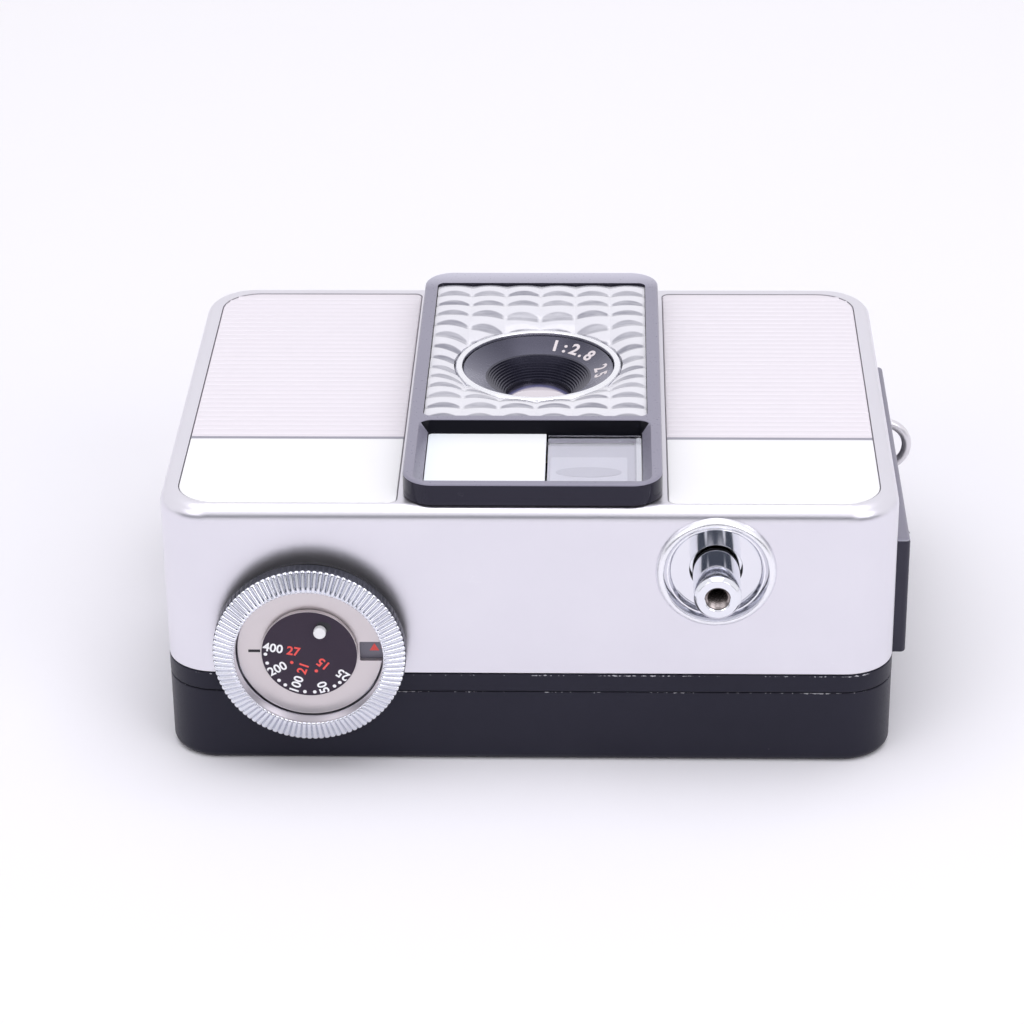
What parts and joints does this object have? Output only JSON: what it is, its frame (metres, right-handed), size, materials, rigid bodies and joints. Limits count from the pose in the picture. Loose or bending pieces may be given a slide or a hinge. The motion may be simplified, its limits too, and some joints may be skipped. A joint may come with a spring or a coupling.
{
  "type": "half frame camera",
  "caption": "Pocket half frame film camera with a clockwork film drive, a ring of light meter cell around its fixed lens, a top dial, a release button and a hinged back door.",
  "frame": {"origin": "centre of the back door's flat outer face, where the camera lies on its back", "axes": "+X to the right of the face, +Y from the camera's top to its base, +Z from the back door to the lens"},
  "size_m": [0.0894, 0.0737, 0.0353],
  "materials": {
    "satin_silver": "satin",
    "chrome": "polished",
    "black_casting": "satin black paint",
    "black_paint": "satin black paint",
    "black_metal": "matt black",
    "gloss_black": "gloss",
    "matt_black": "matt",
    "ribbed_plate": "fine ribs, pale champagne",
    "champagne": "satin champagne",
    "white_enamel": "white enamel",
    "white_plastic": "satin",
    "clear": "polished",
    "frosted": "frosted",
    "selenium": "satin",
    "spring_steel": "satin",
    "brass": "satin"
  },
  "bodies": {
    "camera_body": {"front_cover": "satin_silver", "chassis": "black_casting", "left_white_panel": "white_enamel", "right_white_panel": "white_enamel", "left_ribbed_panel": "ribbed_plate", "right_ribbed_panel": "ribbed_plate", "cell_frame": "gloss_black", "cell_lens": "clear", "selenium_cell": "selenium", "frosted_window": "frosted", "finder_window": "clear", "finder_tube": "matt_black", "finder_objective": "clear", "lens_trim_ring": "chrome", "lens_name_ring": "matt_black", "lens_board": "brass", "lens_barrel": "black_metal", "front_element": "clear", "middle_element": "clear", "rear_cell": "black_metal", "rear_element": "clear", "shutter_plate": "brass", "meter_case": "spring_steel", "dial_post": "spring_steel", "dial_plate": "champagne", "release_collar": "satin_silver", "release_spring": "spring_steel", "hinge_plate": "black_paint", "hinge_pin": "spring_steel", "strap_eye": "spring_steel", "plate_screw_1": "chrome", "plate_screw_2": "chrome", "tripod_bush": "chrome", "counter_window": "clear", "base_screw_1": "chrome", "base_screw_2": "chrome"},
    "door": {"back_door": "black_casting", "eyepiece_frame": "matt_black", "eyepiece_glass": "clear", "pressure_spring": "spring_steel"},
    "latch": {"door_latch": "chrome"},
    "film_pressure": {"pressure_plate": "black_metal"},
    "release": {"release_button": "chrome"},
    "aperture": {"aperture_ring": "chrome"},
    "film_speed": {"film_speed_disc": "gloss_black", "film_speed_peg": "white_plastic"},
    "winder": {"wind_knob": "chrome"},
    "drum": {"takeup_drum": "matt_black", "drum_gear": "brass", "mainspring": "spring_steel"},
    "film_sprocket": {"sprocket": "spring_steel", "sprocket_gear": "brass"},
    "counter": {"counter_dial": "white_plastic"},
    "rewind": {"rewind_disc": "chrome"},
    "crank": {"rewind_crank": "chrome", "crank_grip": "matt_black"},
    "rewind_release": {"rewind_button": "chrome"},
    "blade_a": {"shutter_blade_a": "spring_steel"},
    "blade_b": {"shutter_blade_b": "spring_steel"},
    "needle": {"meter_needle": "black_metal"}
  },
  "joints": [
    {"name": "door_hinge", "type": "hinge", "parent": "camera_body", "child": "door", "pos_m": [0.04247, 0, 0.0102], "axis": [0, -1, 0], "range_deg": [0, 100]},
    {"name": "latch_slide", "type": "slide", "parent": "door", "child": "latch", "axis": [0, 1, 0], "range_m": [0, 0.003]},
    {"name": "pressure_plate_float", "type": "slide", "parent": "door", "child": "film_pressure", "axis": [0, 0, -1], "range_m": [0, 0.0008], "stiffness_N_per_m": 400, "deforming": ["pressure_spring"]},
    {"name": "release_press", "type": "slide", "parent": "camera_body", "child": "release", "axis": [0, 1, 0], "range_m": [0, 0.0018], "stiffness_N_per_m": 300, "deforming": ["release_spring"]},
    {"name": "aperture_turn", "type": "hinge", "parent": "camera_body", "child": "aperture", "pos_m": [-0.0246, -0.03075, 0.01545], "axis": [0, -1, 0], "range_deg": [0, 168]},
    {"name": "film_speed_turn", "type": "hinge", "parent": "camera_body", "child": "film_speed", "pos_m": [-0.0246, -0.03075, 0.01545], "axis": [0, 1, 0], "range_deg": [0, 156]},
    {"name": "wind_turn", "type": "hinge", "parent": "camera_body", "child": "winder", "pos_m": [0.02874, 0.03105, 0.0188], "axis": [0, 1, 0], "continuous": true},
    {"name": "drum_turn", "type": "hinge", "parent": "camera_body", "child": "drum", "pos_m": [0.02874, 0.0065, 0.0188], "axis": [0, 1, 0], "continuous": true},
    {"name": "sprocket_turn", "type": "hinge", "parent": "camera_body", "child": "film_sprocket", "pos_m": [0.01594, 0.0065, 0.0122], "axis": [0, 1, 0], "continuous": true},
    {"name": "counter_turn", "type": "hinge", "parent": "camera_body", "child": "counter", "pos_m": [0.0116, 0.0278, 0.021], "axis": [0, 1, 0], "continuous": true},
    {"name": "rewind_turn", "type": "hinge", "parent": "camera_body", "child": "rewind", "pos_m": [-0.0277, 0.03105, 0.0172], "axis": [0, 1, 0], "continuous": true},
    {"name": "crank_fold", "type": "hinge", "parent": "rewind", "child": "crank", "pos_m": [-0.0329, 0.03365, 0.0172], "axis": [0, 0, 1], "range_deg": [0, 150]},
    {"name": "rewind_button_press", "type": "slide", "parent": "camera_body", "child": "rewind_release", "axis": [0, -1, 0], "range_m": [0, 0.001], "stiffness_N_per_m": 200},
    {"name": "blade_a_swing", "type": "hinge", "parent": "camera_body", "child": "blade_a", "pos_m": [-0.007, 0.01175, 0.02605], "axis": [0, 0, -1], "range_deg": [0, 40]},
    {"name": "blade_b_swing", "type": "hinge", "parent": "camera_body", "child": "blade_b", "pos_m": [0.008, 0.01175, 0.02665], "axis": [0, 0, 1], "range_deg": [0, 40]},
    {"name": "needle_swing", "type": "hinge", "parent": "camera_body", "child": "needle", "pos_m": [-0.0085, -0.02415, 0.0245], "axis": [0, 0, 1], "range_deg": [-20, 20], "stiffness_Nm_per_rad": 0.00002}
  ],
  "couplings": [
    {"joint": "sprocket_turn", "follows": "drum_turn", "ratio": -1.5},
    {"joint": "counter_turn", "follows": "drum_turn", "ratio": -0.028125},
    {"joint": "blade_b_swing", "follows": "blade_a_swing", "ratio": 1}
  ]
}
